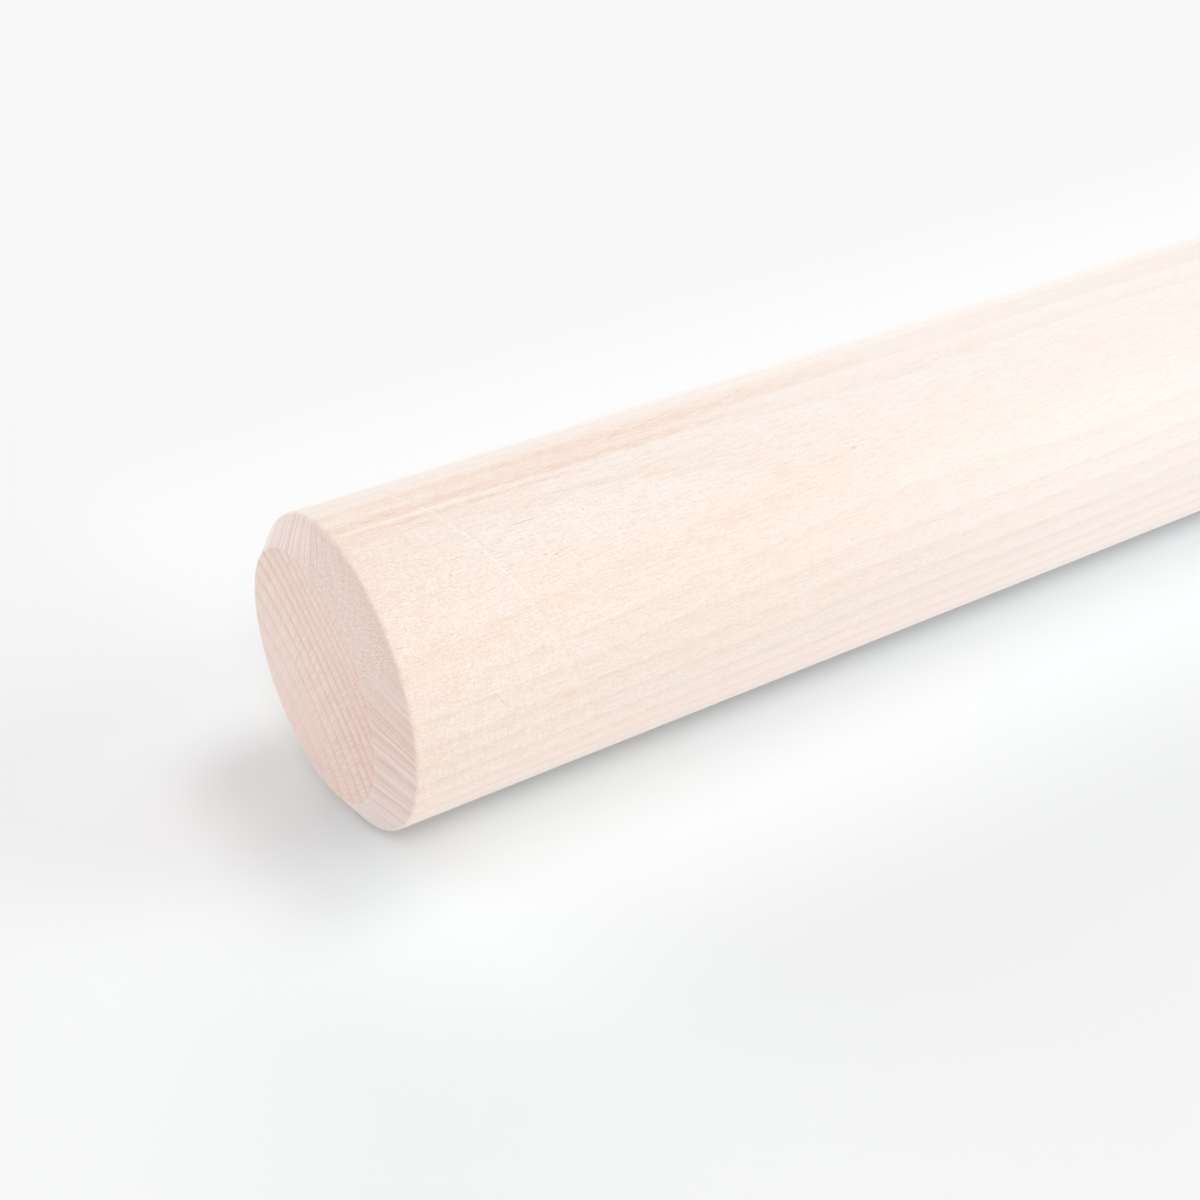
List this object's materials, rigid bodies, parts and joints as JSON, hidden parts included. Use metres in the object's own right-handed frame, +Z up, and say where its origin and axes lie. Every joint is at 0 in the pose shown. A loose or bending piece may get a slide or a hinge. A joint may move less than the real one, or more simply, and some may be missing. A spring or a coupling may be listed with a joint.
{
  "type": "rolling pin",
  "caption": "Straight handleless wooden rolling pin: a plain turned cylinder with a chamfer round each flat end, rolled under the palms to flatten dough.",
  "frame": {"origin": "on the table under the middle of the pin, where the barrel touches down", "axes": "+X along the pin's axis, from the pictured end to the other; +Y across, away from the camera; +Z up"},
  "size_m": [0.5, 0.05, 0.0499],
  "materials": {
    "pale_wood": "bare sanded hardwood, matte, with end grain on the flat ends and chamfers"
  },
  "bodies": {
    "root": {"rolling_pin": "pale_wood"}
  },
  "joints": []
}
